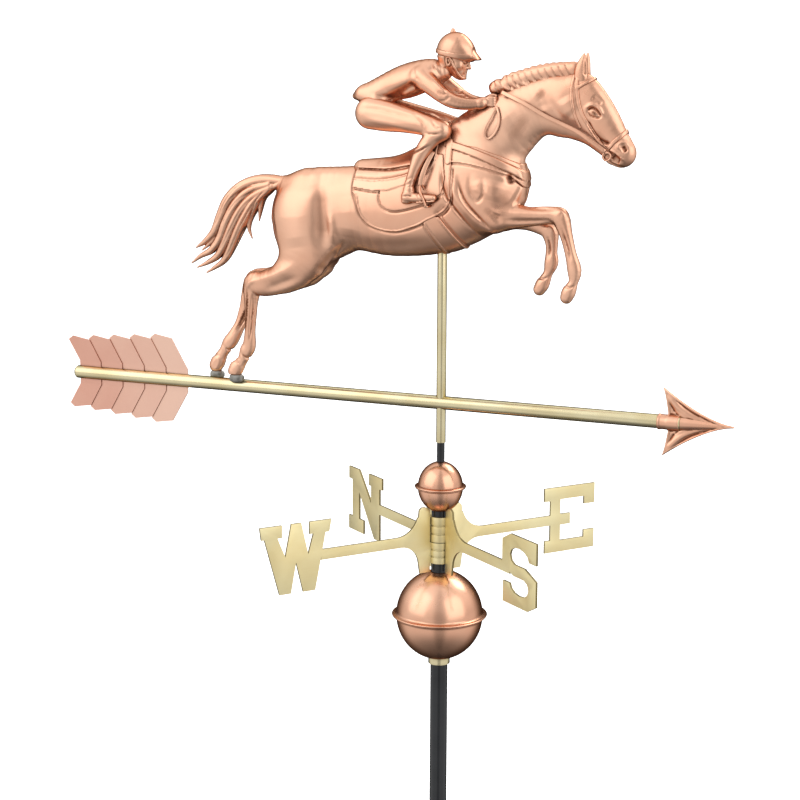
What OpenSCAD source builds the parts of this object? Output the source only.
// Weather vane: a copper horse and rider over a brass arrow that turns on a steel mast,
// with a fixed compass cross between two copper balls.
// Origin: centre of the mast's foot. +Z is up the mast, +X is where the arrow points.

/* [Mast] */
// Outside diameter of the mast tube
mast_d = 21.3; // [21.3]
// Wall of the mast tube
mast_wall = 2.1; // [1.6:0.1:2.4]
// Diameter of the pivot rod
rod_d = 9.525; // [9.525]
// Height of the compass cross above the mast's foot
arms_z = 400; // [360:1:500]

/* [Balls] */
// Outside radius of the large ball
large_ball_r = 53.3; // [52:0.1:54]
// Outside radius of the small ball
small_ball_r = 27.6; // [27:0.1:28.2]
// How much taller than wide each ball is
large_ball_tall = 1.05; // [1:0.01:1.06]
small_ball_tall = 1.14; // [1:0.01:1.16]
// Sheet thickness of both balls
ball_wall = 0.9; // [0.8:0.1:1.2]

/* [Compass] */
// Angle of the east arm, anticlockwise from the arrow
east_angle = 52.5; // [0:0.5:90]
// Thickness of the brass plates
plate_t = 2.6; // [2:0.1:3]

/* [Arrow] */
// Height of the arrow above the compass cross
arrow_rise = 167; // [167]
// Radius of the arrow tube
shaft_r = 8.3; // [8:0.1:8.6]
// Wall of the arrow tube
shaft_wall = 1; // [0.8:0.1:1.2]
// Front end of the arrow tube
shaft_front = 296; // [290:1:300]
// Rear end of the arrow tube
shaft_rear = -506; // [-510:1:-500]
// Thickness of the feather sheets
feather_t = 1.2; // [1:0.1:1.6]

/* [Figure] */
// Sheet thickness of the pressed copper halves
skin = 1.1; // [0.9:0.1:1.4]

/* [Hidden] */
$fn = 64;

COPPER = [0.88, 0.56, 0.42];
BRASS = [0.85, 0.74, 0.46];
STEEL = [0.13, 0.13, 0.14];
SOLDER = [0.42, 0.43, 0.40];
LEFT = 1;
RIGHT = -1;

mast_r = mast_d / 2;
rod_r = rod_d / 2;
fit = 0.05;                              // play between pieces that are slid together
run = 0.085;                             // play of the pivot rod in its tube
large_ball_z = arms_z - 98;
small_ball_z = arms_z + 63;
mast_top = arms_z + 86;
arrow_z = arms_z + arrow_rise;
bore_r = mast_r + fit;
tube_bore_r = rod_r + run;
tube_r = 5.9;
tube_bottom = arms_z + 118.3;
tube_top = arms_z + 436;
plug_h = 12;
ball_bearing_r = 4;
rod_top = tube_top - plug_h - 2 * ball_bearing_r + 0.8;

// ---------------------------------------------------------------- mast

// The groove is the collar's stop; below it the tube is free for the roof bracket's socket.
groove_z = large_ball_z - large_ball_tall * large_ball_r - 6.5;
groove_h = 3;
groove_depth = 0.4;
module mast_pole() color(STEEL)
    difference() {
        cylinder(r = mast_r, h = mast_top);
        translate([0, 0, -1]) cylinder(r = mast_r - mast_wall, h = mast_top + 2);
        translate([0, 0, groove_z]) difference() {
            cylinder(r = mast_r + 1, h = groove_h);
            translate([0, 0, -1]) cylinder(r = mast_r - groove_depth, h = groove_h + 2);
        }
    }

bush_h = 60;
module rod_bush() color(STEEL)
    translate([0, 0, mast_top - bush_h])
        difference() {
            cylinder(r = mast_r - mast_wall - fit, h = bush_h);
            translate([0, 0, -1]) cylinder(r = rod_r + fit, h = bush_h + 2);
        }

module pivot_rod() color(STEEL)
    difference() {
        translate([0, 0, mast_top - bush_h]) cylinder(r = rod_r, h = rod_top - mast_top + bush_h);
        translate([0, 0, rod_top - 0.8 + ball_bearing_r]) sphere(r = ball_bearing_r);
    }

module bearing_ball() color(SOLDER)
    translate([0, 0, rod_top - 0.8 + ball_bearing_r + 0.02]) sphere(r = ball_bearing_r);

collar_h = 8;
collar_r = 13.4;
collar_z = large_ball_z - large_ball_tall * large_ball_r - collar_h + 2;
screw_r = 2.5;
module ball_collar() color(BRASS)
    difference() {
        translate([0, 0, collar_z]) cylinder(r = collar_r, h = collar_h);
        translate([0, 0, collar_z - 1]) cylinder(r = bore_r, h = collar_h + 2);
        translate([0, 0, large_ball_z]) rotate([180, 0, 0])
            rotate_extrude() polygon(concat([[0, 0]],
                ball_arc(large_ball_r + fit, large_ball_tall, 0)));
        translate([0, 0, collar_z + 4]) rotate([0, 90, 100]) cylinder(r = screw_r + fit, h = 30);
    }

module collar_screw() color(STEEL)
    translate([0, 0, collar_z + 4]) rotate([0, 90, 100]) grub_screw(mast_r + fit, collar_r - 0.3);

// A headless screw with a hexagon socket, from radius r0 out to radius r1.
module grub_screw(r0, r1)
    difference() {
        translate([0, 0, r0]) cylinder(r = screw_r, h = r1 - r0);
        translate([0, 0, r1 - 2]) cylinder(r = 1.3, h = 3, $fn = 6);
    }

// ---------------------------------------------------------------- balls

// Points from radius r0 near the top of a ball down to its equator; it is k times as tall as wide.
function ball_arc(r, k, r0, n = 14) =
    let (a0 = asin(r0 / r))
    [for (i = [0 : n]) let (a = a0 + (90 - a0) * i / n) [r * sin(a), k * r * cos(a)]];
function backwards(p) = [for (i = [len(p) - 1 : -1 : 0]) p[i]];

// Half of a spun ball, open side at z = 0, with a lip round the seam.
module ball_half(r, k, hole_r, lip)
    rotate_extrude() polygon(concat(
        [for (p = ball_arc(r, k, hole_r)) if (p[1] > ball_wall + 0.5) p],
        [[r, ball_wall], [r + lip, ball_wall], [r + lip, 0]],
        backwards(ball_arc(r - ball_wall, k, hole_r))));

large_lip = 5.3;
small_lip = 3.8;
module large_half(hole_r) ball_half(large_ball_r, large_ball_tall, hole_r, large_lip);
module small_half(hole_r) ball_half(small_ball_r, small_ball_tall, hole_r, small_lip);
module large_ball_lower() color(COPPER)
    translate([0, 0, large_ball_z]) rotate([180, 0, 0]) large_half(bore_r);
module large_ball_upper() color(COPPER)
    translate([0, 0, large_ball_z]) large_half(bore_r);
module small_ball_lower() color(COPPER)
    translate([0, 0, small_ball_z]) rotate([180, 0, 0]) small_half(bore_r);
module small_ball_upper() color(COPPER)
    translate([0, 0, small_ball_z]) small_half(rod_r + fit);

// ---------------------------------------------------------------- compass cross

sleeve_r = 13.8;
sleeve_split = -4.5;                     // the two sleeves meet at this height
sleeve_top = 27;
sleeve_bottom = -31;
arm_h2 = 6.5;                            // half of an arm's height
strip_r = 31;                            // outer radius of the hub strips
strip_in = sleeve_r + 1;                 // and their inner radius
letter_in = 150;                         // radius where the letters begin

// Points of an arc round [cx, cy], from angle a0 to a1, in n steps.
function arc(cx, cy, r, a0, a1, n = 8) =
    [for (i = [0 : n]) let (a = a0 + (a1 - a0) * i / n) [cx + r * cos(a), cy + r * sin(a)]];

// One arm with its hub strip, drawn along +X, from the hub to radius `reach`.
module arm_outline(reach)
    polygon(concat(
        [[strip_in, 35.4], [18.6, 38.8], [22, 40], [27, 40], [30, 37]],
        [[strip_r, 28]],
        arc(strip_r + 30, 36.5, 30, 196, 270, 8),
        [[reach, arm_h2], [reach, -arm_h2]],
        arc(strip_r + 24, -30.5, 24, 90, 164, 8),
        [[strip_r, -28], [29, -42], [strip_in, -42]]));

// Letters, each drawn as read, with x = 0 at its left edge.
module letter_e()
    polygon([[0, 42], [76, 42], [76, 16], [60, 16], [60, 26], [24, 26], [24, 7], [39, 7],
        [39, -7], [24, -7], [24, -27], [60, -27], [60, -18], [76, -18], [76, -42], [1, -42],
        [1, -26], [9, -26], [9, 25], [0, 25]]);

module letter_w()
    polygon([[0, 42], [29, 42], [29, 27], [23, 27], [33, 3], [41, 42], [54, 42], [63, 3],
        [70, 27], [65, 27], [65, 42], [94, 42], [91, 27], [86, 27], [72, -42], [56, -42],
        [47, -5], [40, -42], [25, -42], [6, 27], [2, 27]]);

module letter_n()
    polygon([[3, 42], [30, 42], [62, 4], [62, 27], [56, 27], [56, 42], [91, 42], [91, 27],
        [84, 27], [84, -42], [70, -42], [30, 12], [30, -24], [42, -24], [42, -42], [2, -42],
        [2, -24], [12, -24], [12, 26], [3, 26]]);

module letter_s()
    polygon([[71, 42], [71, 16], [56, 16], [53, 22], [46, 26], [36, 28], [26, 27], [19, 23],
        [16.5, 17], [19, 10.5], [26, 7], [47, 7], [71, -3], [71, -33], [54, -42], [2, -42],
        [2, -17], [16, -17], [19, -22.5], [26, -26.5], [36, -28], [46, -27], [53, -23],
        [55.5, -17], [53, -10.5], [46, -7], [24, -7], [0, 3], [0, 33], [17, 42]]);

// The hub sleeve from z0 to z1, with turned grooves.
module sleeve(z0, z1)
    difference() {
        translate([0, 0, z0]) cylinder(r = sleeve_r, h = z1 - z0);
        for (k = [1 : 2])
            translate([0, 0, z0 + k * (z1 - z0) / 3 - 1.1])
                difference() {
                    cylinder(r = sleeve_r + 1, h = 2.2);
                    translate([0, 0, -1]) cylinder(r = sleeve_r - 0.9, h = 4.2);
                }
    }

// Stands a flat outline, drawn in x and z, upright on the x axis.
module plate() rotate([90, 0, 0]) linear_extrude(plate_t, center = true) children();

// Two arms and one sleeve. The strips clear the other bar's sleeve, and join their own.
module bar(angle, z0, z1)
    translate([0, 0, arms_z]) rotate([0, 0, angle])
        difference() {
            union() {
                children();
                sleeve(z0, z1);
                for (s = [0, 180]) rotate([0, 0, s])
                    translate([sleeve_r - 2, -plate_t / 2, z0]) cube([4, plate_t, z1 - z0]);
            }
            translate([0, 0, -60]) cylinder(r = bore_r, h = 120);
            translate([0, 0, z1 - 5]) rotate([0, 90, 125]) cylinder(r = screw_r + fit, h = 20);
        }

module ew_arms() color(BRASS)
    bar(east_angle, sleeve_bottom, sleeve_split - 0.4) {
        plate() arm_outline(letter_in + 12);
        plate() mirror([1, 0]) arm_outline(letter_in + 14);
        plate() translate([letter_in + 2, 0]) letter_e();
        plate() translate([-letter_in - 94, 0]) letter_w();
    }

module ns_arms() color(BRASS)
    bar(east_angle - 90, sleeve_split + 0.4, sleeve_top) {
        plate() arm_outline(letter_in + 8);
        plate() mirror([1, 0]) arm_outline(letter_in + 6);
        plate() translate([letter_in - 8, 0]) letter_s();
        plate() translate([-letter_in - 84, 0]) letter_n();
    }

module hub_screws() color(STEEL)
    translate([0, 0, arms_z]) {
        translate([0, 0, sleeve_split - 5.4]) rotate([0, 90, east_angle + 125])
            grub_screw(mast_r + fit, sleeve_r - 0.2);
        translate([0, 0, sleeve_top - 5]) rotate([0, 90, east_angle + 35])
            grub_screw(mast_r + fit, sleeve_r - 0.2);
    }

// ---------------------------------------------------------------- pivot and arrow

module pivot_tube() color(BRASS)
    translate([0, 0, tube_bottom])
        difference() {
            cylinder(r = tube_r, h = tube_top - tube_bottom);
            translate([0, 0, -1]) cylinder(r = tube_bore_r, h = tube_top - tube_bottom + 2);
        }

module tube_plug() color(BRASS)
    translate([0, 0, tube_top - plug_h + 0.1]) {
        cylinder(r = tube_bore_r - 0.02, h = plug_h);
        translate([0, 0, plug_h]) cylinder(r = tube_r, h = 2);
    }

module arrow_shaft() color(BRASS)
    difference() {
        translate([shaft_rear, 0, arrow_z]) rotate([0, 90, 0])
            difference() {
                cylinder(r = shaft_r, h = shaft_front - shaft_rear);
                translate([0, 0, -1])
                    cylinder(r = shaft_r - shaft_wall, h = shaft_front - shaft_rear + 2);
            }
        translate([0, 0, arrow_z - 20]) cylinder(r = tube_r + fit, h = 40);
        translate([feather_rear - 10, -feather_t / 2 - 0.7, arrow_z - 20])
            cube([feather_front - feather_rear + 12, feather_t + 1.4, 40]);
    }

module shaft_end_cap() color(BRASS)
    translate([shaft_rear, 0, arrow_z]) rotate([0, 90, 0])
        difference() {
            union() {
                intersection() {
                    translate([0, 0, shaft_r - 4]) sphere(r = shaft_r + 1.4);
                    translate([0, 0, -5]) cylinder(r = shaft_r, h = 5 - fit);
                }
                translate([0, 0, -1]) cylinder(r = shaft_r - shaft_wall - fit, h = 5);
            }
            translate([-20, -feather_t / 2 - 0.7, 1]) cube([40, feather_t + 1.4, 10]);
        }

// Arrowhead outline in x and height above the shaft's axis, upper half.
head_tip = 359;
head_back = 281;
barb_x = 273;
barb_z = 41.5;
function barb_edge(n = 8) =              // concave front edge, from the tip to the barb
    [for (i = [0 : n]) let (t = i / n)
        [head_tip - 2 - (head_tip - 2 - barb_x) * t, 1 + (barb_z - 1) * pow(t, 1.55)]];
function barb_back(n = 4) =              // hollow back edge, from the barb to the socket
    [for (i = [1 : n]) let (t = i / n)
        [barb_x + (head_back - barb_x) * pow(t, 0.6), barb_z - (barb_z - 9.5) * t]];
function head_top() = concat([[head_tip, 0]], barb_edge(), barb_back());
function flip(p) = [for (i = [len(p) - 1 : -1 : 0]) [p[i][0], -p[i][1]]];

socket_r = shaft_r + 1;
module arrowhead(side) color(COPPER)
    translate([0, 0, arrow_z])
        difference() {
            union() {
                rotate([90, 0, 0]) linear_extrude(5, center = true)
                    polygon(concat(head_top(), flip(head_top())));
                translate([269, 0, 0]) rotate([0, 90, 0]) cylinder(r = socket_r, h = 20);
                translate([289, 0, 0]) rotate([0, 90, 0]) cylinder(r1 = socket_r, r2 = 2, h = 64);
            }
            translate([260, 0, 0]) rotate([0, 90, 0]) cylinder(r = shaft_r + fit, h = 36 + fit);
            translate([250, side == LEFT ? -30 : 0, -50]) cube([120, 30, 100]);
        }
module arrowhead_left() arrowhead(LEFT);
module arrowhead_right() arrowhead(RIGHT);

// Feathers: five steps, each leaning back, with a peaked end.
feather_n = 5;
feather_rear = -504;
feather_front = -345;
feather_pitch = (feather_front - feather_rear) / feather_n;
feather_lean = 0.6;                      // how far back the feathers lean, per unit of height
feather_low = 7.2;
function feather_top(k) = 46 + 2.6 * k;  // height of feather k's peak, counted from the rear
// Outline of feather k, from its root at x0; x and height above the axis.
function feather(k) =
    let (x0 = feather_rear + k * feather_pitch, h = feather_top(k), p = feather_pitch)
    [[x0, feather_low], [x0, 15], [x0 - feather_lean * (h - 19), h - 4],
     [x0 - feather_lean * (h - 15) + 9, h + 1],
     [x0 + p - feather_lean * (h - 19) + (k == feather_n - 1 ? 0 : 0.5), h - 3],
     [x0 + p, 15], [x0 + p, feather_low]];

// Each feather stands a little proud of the next at its rear edge.
module fletching(up) color(COPPER)
    translate([0, 0, arrow_z]) mirror([0, 0, up ? 0 : 1])
        for (k = [0 : feather_n - 1])
            translate([0, k % 2 == 0 ? 0.35 : -0.35, 0])
                rotate([90, 0, 0]) linear_extrude(feather_t, center = true) polygon(feather(k));
module fletching_upper() fletching(true);
module fletching_lower() fletching(false);

// ---------------------------------------------------------------- figure: shapes
// Figure points are [x, y, z, r, w]: z counts from the arrow's axis, r is the radius seen from
// the side and w is the half-width across.

// An egg at a point, grown by g, with n facets round it.
module egg(p, g, n)
    translate([p[0], p[1], p[2] + arrow_z])
        scale([1, (p[4] + g) / (p[3] + g), 1]) rotate([90, 0, 0]) sphere(r = p[3] + g, $fn = n);

// Skin drawn over a row of eggs. The egg that two links share is a hair smaller in the first,
// so that no two faces of the row lie in one plane.
hair = 0.02;
module chain(points, g = 0, n = 12)
    for (i = [0 : len(points) - 2])
        link(points[i], points[i + 1], g, n);
module link(p, q, g, n, less = 0)
    hull() {
        egg(p, g - less, n);
        egg(q, g - hair - less, n);
    }

// The same row on the other side.
function sided(points, side) = [for (p = points) [p[0], side * p[1], p[2], p[3], p[4]]];

barrel = [[-168, 0, 217, 60, 30], [-115, 0, 229, 51, 28], [-60, 0, 230, 56, 31],
    [0, 0, 241, 59, 31], [48, 0, 264, 59, 29]];
neck = [[25, 0, 288, 50, 25], [65, 0, 320, 45, 20], [103, 0, 348, 36, 16], [138, 0, 361, 33, 13]];
head = [[160, 0, 353, 32, 13], [184, 0, 344, 27, 13], [203, 0, 322, 19, 10], [218, 0, 306, 18, 11]];
brow = [[150, 0, 368, 26, 11], [170, 0, 377, 19, 11], [190, 0, 350, 22, 12]];
thigh = [[-170, 15, 200, 48, 17], [-177, 16, 168, 31, 16], [-203, 15, 141, 18.5, 12]];
shoulder = [[52, 11, 262, 44, 15], [70, 13, 227, 18, 12]];

// Hind leg from the gaskin to the hoof, near (right) and far (left).
hind_right = [[-203, 15, 141, 18, 11.5], [-228, 13, 132, 17, 10], [-247, 11, 129, 14.5, 8],
    [-249, 10, 100, 10.5, 6.5], [-254, 8, 75, 9, 5.5], [-258, 7, 50, 10.5, 6],
    [-266, 6.5, 33, 8.5, 5.5], [-274, 6.5, 24, 10.5, 6]];
hind_left = [[-203, 15, 141, 18, 11.5], [-232, 13, 133, 17, 10], [-256, 11, 131, 13.5, 8],
    [-264, 10, 103, 10, 6.5], [-273, 8, 79, 9, 5.5], [-286, 7, 56, 10.5, 6],
    [-297, 6.5, 42, 8.5, 5.5], [-308, 6.5, 26, 10.5, 6]];
fore_right = [[70, 14, 227, 17, 12], [112, 13, 231, 12.5, 9], [150, 12, 231, 11, 7.5],
    [160, 12, 196, 8.5, 5.5], [168, 12, 168, 9.5, 5.5], [167, 12, 155, 6.5, 5],
    [161, 12, 143, 9.5, 6.5]];
fore_left = [[70, 14, 227, 16, 12], [100, 13, 224, 13, 9], [130, 12, 212, 11, 7.5],
    [132, 12, 191, 8.5, 5.5], [132, 12, 174, 9, 5.5], [128, 12, 161, 6.5, 5],
    [121, 12, 146, 9.5, 6.5]];
leg_cut_x = 100;                         // the fore legs are separate in front of this
gaskin_cut_x = -212;                     // and the hind legs behind this

// Solid form of the horse's trunk, neck and head.
module trunk(g = 0, n = 16) {
    chain(barrel, g, n);
    chain(neck, g, n);
    link(barrel[4], neck[1], g, n, 2 * hair);
}
module head_form(g = 0, n = 10) {
    chain(head, g, n);
    chain(brow, g, n);
    link(neck[3], head[0], g, n, 2 * hair);
}

module horse_form(side, g = 0) {
    trunk(g);
    head_form(g);
    chain(sided(thigh, side), g, 10);
    chain(sided(shoulder, side), g, 10);
    leg_root(side, g);
}

// The tops of the limbs, which are pressed in one piece with the body.
module leg_root(side, g) {
    hind = sided(side == LEFT ? hind_left : hind_right, side);
    fore = sided(side == LEFT ? fore_left : fore_right, side);
    chain([hind[0], hind[1]], g, 10);
    chain([fore[0], fore[1]], g, 10);
}

// The space that the pressed halves keep to: the separate legs begin at its edges.
module body_space(side)
    difference() {
        half_space(side);
        translate([-400, -120, arrow_z]) cube([400 + gaskin_cut_x, 240, 160]);
        translate([leg_cut_x, -120, arrow_z + 150]) cube([100, 240, 98]);
    }

module half_space(side, gap = 0.02)
    translate([-400, side == LEFT ? gap : -100 - gap, arrow_z + 10]) cube([800, 100, 500]);

// A hollow half of the horse.
module horse_half(side) color(COPPER)
    difference() {
        intersection() {
            horse_form(side);
            body_space(side);
        }
        horse_form(side, -skin);
        translate([0, 0, arms_z + 300]) cylinder(r = tube_r + 0.3, h = 140, $fn = 32);
    }
module horse_left() horse_half(LEFT);
module horse_right() horse_half(RIGHT);

// A hind leg behind the cut, standing on its hoof.
hoof_bottom = 11;
module hind_leg(side, points) color(COPPER)
    difference() {
        chain(sided(points, side), 0, 12);
        translate([gaskin_cut_x - 0.03, -100, arrow_z + 60]) cube([100, 200, 400]);
        translate([-400, -100, arrow_z - 40]) cube([400, 200, 40 + hoof_bottom + 4.02]);
    }
module hind_leg_left() hind_leg(LEFT, hind_left);
module hind_leg_right() hind_leg(RIGHT, hind_right);

module fore_leg(side, points) color(COPPER)
    difference() {
        chain(sided(points, side), 0, 12);
        translate([0, -100, arrow_z + 100]) cube([leg_cut_x + 0.02, 200, 200]);
    }
module fore_leg_left() fore_leg(LEFT, fore_left);
module fore_leg_right() fore_leg(RIGHT, fore_right);

// Solder pads that seat the hind hooves on the arrow tube.
pad_top = hoof_bottom + 4;
module hoof_pads() color(SOLDER)
    difference() {
        for (p = [[hind_right[7], RIGHT], [hind_left[7], LEFT]])
            translate([p[0][0] - 9, p[1] * 6.4 - 5.9, arrow_z]) cube([18, 11.8, pad_top - 0.02]);
        translate([-350, 0, arrow_z]) rotate([0, 90, 0]) cylinder(r = shaft_r + 0.02, h = 100);
        translate([-350, -20, arrow_z - 1]) cube([100, 40, 5]);
    }

// ---------------------------------------------------------------- figure: hair and ears

tail_rows = [
    [[-214, 0, 256, 9, 6], [-243, 0, 253, 12, 8], [-268, 0, 236, 15, 9], [-285, 0, 208, 14, 8],
     [-297, 0, 180, 12, 6]],
    [[-297, 0, 186, 8, 4], [-312, 0, 183, 4, 3], [-329, 0, 171, 1.5, 1.5]],
    [[-297, 0, 178, 8, 4], [-316, 0, 166, 4, 3], [-336, 0, 151, 1.5, 1.5]],
    [[-298, 0, 174, 8, 4], [-310, 0, 158, 4, 3], [-328, 0, 145, 1.5, 1.5]],
    [[-295, 0, 172, 8, 4], [-303, 0, 153, 4, 3], [-316, 0, 140, 1.5, 1.5]],
    [[-288, 0, 180, 8, 4], [-294, 0, 160, 5, 3], [-296, 0, 152, 2, 1.5]],
    [[-268, 0, 226, 14, 6], [-274, 0, 200, 6, 4], [-270, 0, 182, 2, 1.5]],
    [[-256, 0, 234, 12, 6], [-258, 0, 208, 5, 3], [-253, 0, 188, 2, 1.5]],
    [[-238, 0, 248, 9, 5], [-237, 0, 222, 5, 3], [-241, 0, 209, 2, 1.5]]];
module tail() color(COPPER)
    difference() {
        union() {
            chain(tail_rows[0], 0, 8);
            for (i = [1 : len(tail_rows) - 1]) chain(tail_rows[i], 0, 6);
        }
        for (side = [LEFT, RIGHT]) chain(sided(thigh, side), 0.1, 10);
        trunk(0.1);
    }

mane_n = 9;
module mane() color(COPPER)
    difference() {
        for (i = [0 : mane_n - 1]) {
            t = i / (mane_n - 1);
            hull() {
                egg([67 + 82 * t, 0, 378 + 24 * sin(90 * t), 6.5, 5], 0, 8);
                egg([61 + 88 * t, 0, 369 + 25 * sin(90 * t), 7.5, 6], 0, 8);
            }
        }
        trunk(0.1);
        head_form(0.1);
    }

module ear(side) color(COPPER)
    difference() {
        hull() {
            egg([170, side * 6, 397, 6, 3.5], 0, 10);
            egg([169, side * 7, 417, 1, 1], 0, 8);
            egg([173, side * 7, 406, 4, 3], 0, 10);
        }
        head_form(0.1);
    }
module ear_left() ear(LEFT);
module ear_right() ear(RIGHT);

// ---------------------------------------------------------------- figure: saddlery

// Sheet wrapped on the trunk from t0 to t1 proud of it, cut to an outline in x and height.
module wrap(t0, t1)
    difference() {
        intersection() {
            trunk(t1);
            translate([0, 0, arrow_z]) rotate([90, 0, 0])
                linear_extrude(100, center = true) children();
        }
        trunk(t0);
    }

module cloth_outline()
    polygon([[-117, 300], [-117, 252], [-110, 232], [-104, 220], [-92, 209], [-76, 205],
        [-55, 205], [-34, 211], [-26, 216], [-14, 226], [2, 232], [10, 250], [12, 292], [8, 345],
        [-20, 345]]);
module saddle_cloth() color(COPPER) wrap(0.1, 1.6) cloth_outline();

module saddle() color(COPPER)
    difference() {
        union() {
            intersection() {
                trunk(3.4);
                translate([0, 0, arrow_z]) rotate([90, 0, 0]) linear_extrude(100, center = true)
                    polygon([[-112, 300], [-112, 264], [-82, 253], [-80, 236], [-70, 229],
                        [-40, 232], [-6, 242], [2, 262], [4, 330], [-20, 330]]);
            }
            hull() {
                egg([-106, 0, 282, 6, 12], 0, 14);
                egg([-60, 0, 284, 9, 9], 0, 14);
            }
            hull() {
                egg([-60, 0, 284, 9, 9], 0, 14);
                egg([-12, 0, 306, 11, 10], 0, 14);
            }
        }
        trunk(1.7);
    }

module girth() color(COPPER)
    difference() {
        wrap(0.1, 1.5)
            polygon([[-24, 211], [-13, 222], [-2, 228], [19, 190], [20, 150], [-5, 150]]);
        translate([0, 0, arms_z + 300]) cylinder(r = tube_r + 0.3, h = 140, $fn = 32);
    }

module breastplate() color(COPPER)
    wrap(0.1, 1.8) polygon([[13, 290], [13, 310], [40, 309], [75, 303], [115, 288], [115, 266],
        [75, 280], [40, 289]]);

module head_wrap(t0, t1)
    difference() {
        intersection() {
            head_form(t1);
            translate([0, 0, arrow_z]) rotate([90, 0, 0])
                linear_extrude(100, center = true) children();
        }
        head_form(t0);
        trunk(0.1);
    }

module bridle() color(COPPER)
    head_wrap(0.1, 1.5) {
        polygon([[160, 393], [166, 393], [173, 350], [200, 305], [195, 302], [167, 348]]);
        polygon([[184, 312], [188, 305], [217, 330], [213, 338]]);
        polygon([[163, 384], [167, 378], [188, 386], [186, 393]]);
    }

bit_x = 203;
bit_z = 306;
module bit() color(STEEL)
    difference() {
        union() {
            translate([bit_x, -13, arrow_z + bit_z]) rotate([-90, 0, 0]) cylinder(r = 1.2, h = 26);
            for (side = [LEFT, RIGHT])
                translate([bit_x, side * 13, arrow_z + bit_z - 5]) rotate([90, 0, 0])
                    rotate_extrude() translate([5, 0]) circle(r = 1.2, $fn = 16);
        }
        translate([bit_x - 8, -11.4, arrow_z + bit_z - 12]) cube([16, 22.8, 24]);
    }

rein = [[74, 11, 368, 1.8, 1.8], [100, 17.5, 356, 1.8, 1.8], [130, 16.5, 342, 1.8, 1.8],
    [160, 15.8, 331, 1.8, 1.8], [180, 15.5, 317, 1.8, 1.8], [198, 14.8, 306, 1.8, 1.8]];
module rein(side) color(COPPER)
    difference() {
        chain(sided(rein, side), 0, 6);
        trunk(0.1);
        head_form(1.6);
    }
module rein_left() rein(LEFT);
module rein_right() rein(RIGHT);

// ---------------------------------------------------------------- figure: rider

rider_trunk = [[-103, 0, 367, 13, 14], [-78, 0, 371, 16, 18], [-48, 0, 381, 20, 19],
    [-20, 0, 390, 18, 21], [0, 0, 394, 11, 11]];
rider_seat = [[-101, 6, 369, 14, 12], [-80, 8, 360, 19, 13]];
thigh_leg = [[-84, 17, 343, 18, 12], [-45, 20, 338, 14.5, 11], [8, 25, 327, 12, 10]];
shin = [[8, 25, 327, 11.5, 9], [-10, 30, 292, 9.5, 8], [-27, 36, 256, 6.5, 5.5]];
boot = [[-31, 37, 249, 6, 5.5], [-8, 38, 248, 5.5, 5], [6, 38, 247, 3.5, 4]];
arm = [[-18, 20, 385, 12, 8], [12, 24, 364, 8.5, 7], [40, 18, 357, 7, 6], [60, 10, 361, 6.5, 5]];
boot_cut = 258;                          // the boots are separate below this

module rider_form(side, g = 0) {
    chain(rider_trunk, g, 12);
    chain(sided(rider_seat, side), g, 10);
}
module rider_half(side) color(COPPER)
    difference() {
        intersection() {
            rider_form(side);
            half_space(side);
        }
        rider_form(side, -skin);
    }
module rider_left() rider_half(LEFT);
module rider_right() rider_half(RIGHT);

module rider_leg(side) color(COPPER)
    difference() {
        union() {
            chain(sided(thigh_leg, side), 0, 14);
            chain(sided(shin, side), 0, 12);
        }
        rider_form(side, 0.1);
        trunk(3.5);
        translate([-80, -80, arrow_z + boot_cut - 30]) cube([120, 160, 30]);
        translate([-400, side == LEFT ? -100 : -0.02, arrow_z]) cube([800, 100.02, 500]);
    }
module leg_left() rider_leg(LEFT);
module leg_right() rider_leg(RIGHT);

module rider_boot(side) color(COPPER)
    difference() {
        union() {
            chain(sided(boot, side), 0, 12);
            hull() {
                egg([-30, side * 37, 252, 6, 5.5], 0, 12);
                egg([-27, side * 36, 258, 6.5, 5.5], 0, 12);
            }
        }
        translate([-80, -80, arrow_z + boot_cut - 0.02]) cube([120, 160, 30]);
        trunk(3.5);
    }
module boot_left() rider_boot(LEFT);
module boot_right() rider_boot(RIGHT);

module rider_arm(side) color(COPPER)
    difference() {
        chain(sided(arm, side), 0, 12);
        rider_form(side, 0.1);
        trunk(0.2);
    }
module arm_left() rider_arm(LEFT);
module arm_right() rider_arm(RIGHT);

// Head in plain proportions: skull, jaw and a small nose.
module rider_head() color(COPPER)
    difference() {
        union() {
            hull() egg([11, 0, 413, 18, 13.5], 0, 18);
            hull() {
                egg([16, 0, 404, 13, 11], 0, 14);
                egg([22, 0, 392, 6, 6], 0, 12);
            }
            hull() {
                egg([2, 0, 398, 9, 9], 0, 12);
                egg([-6, 0, 388, 9, 9], 0, 12);
            }
            hull() {
                egg([30, 0, 406, 2.5, 2], 0, 8);
                egg([31, 0, 400, 2.5, 2.2], 0, 8);
            }
        }
        helmet_form(0.1);
        rider_form(LEFT, 0.1);
    }

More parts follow.
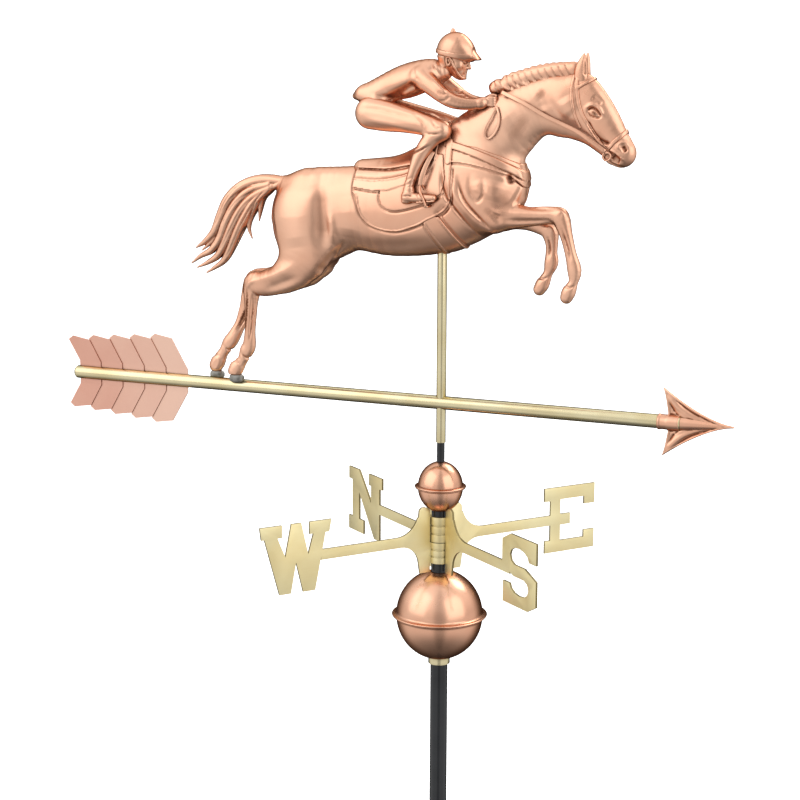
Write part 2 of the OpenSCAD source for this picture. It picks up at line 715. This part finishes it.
// Cap with a peak, tipped forward with the head.
module helmet_form(g = 0) {
    difference() {
        hull() egg([13, 0, 417, 21.5, 16.5], g, 24);
        translate([13, -30, arrow_z + 411 - 60 - g]) rotate([0, 12, 0])
            translate([-40, 0, 0]) cube([90, 60, 60]);
    }
    hull() {
        egg([26, 0, 416, 4 + g, 13 + g], 0, 14);
        egg([44, 0, 408, 1.2 + g, 7 + g], 0, 12);
    }
}
module helmet() color(COPPER) {
    helmet_form();
    hull() egg([11, 0, 440, 3, 3], 0, 12);
}

// Stirrup iron under the boot, with its strap up to the saddle.
module stirrup(side) color(COPPER)
    difference() {
        union() {
            hull() {
                egg([-4, side * 32, 239.5, 2, 2.5], 0, 8);
                egg([-4, side * 43, 239.5, 2, 2.5], 0, 8);
            }
            hull() {
                egg([-4, side * 43.5, 240, 2, 1.6], 0, 8);
                egg([-13, side * 42.5, 262, 2, 1.4], 0, 8);
            }
            hull() {
                egg([-13, side * 42.5, 262, 3, 1.4], 0, 8);
                egg([-2, side * 26, 302, 3, 1.4], 0, 8);
            }
        }
        trunk(3.5);
        chain(sided(shin, side), 0.1, 12);
        chain(sided(boot, side), 0.1, 12);
        chain(sided(thigh_leg, side), 0.1, 14);
    }
module stirrup_left() stirrup(LEFT);
module stirrup_right() stirrup(RIGHT);

// ---------------------------------------------------------------- the assembly

mast_pole();
rod_bush();
pivot_rod();
bearing_ball();
ball_collar();
collar_screw();
large_ball_lower();
large_ball_upper();
ew_arms();
ns_arms();
hub_screws();
small_ball_lower();
small_ball_upper();
pivot_tube();
tube_plug();
arrow_shaft();
shaft_end_cap();
arrowhead_left();
arrowhead_right();
fletching_upper();
fletching_lower();
hoof_pads();
horse_left();
horse_right();
hind_leg_left();
hind_leg_right();
fore_leg_left();
fore_leg_right();
tail();
mane();
ear_left();
ear_right();
saddle_cloth();
saddle();
girth();
breastplate();
bridle();
bit();
rein_left();
rein_right();
stirrup_left();
stirrup_right();
rider_left();
rider_right();
rider_head();
helmet();
arm_left();
arm_right();
leg_left();
leg_right();
boot_left();
boot_right();
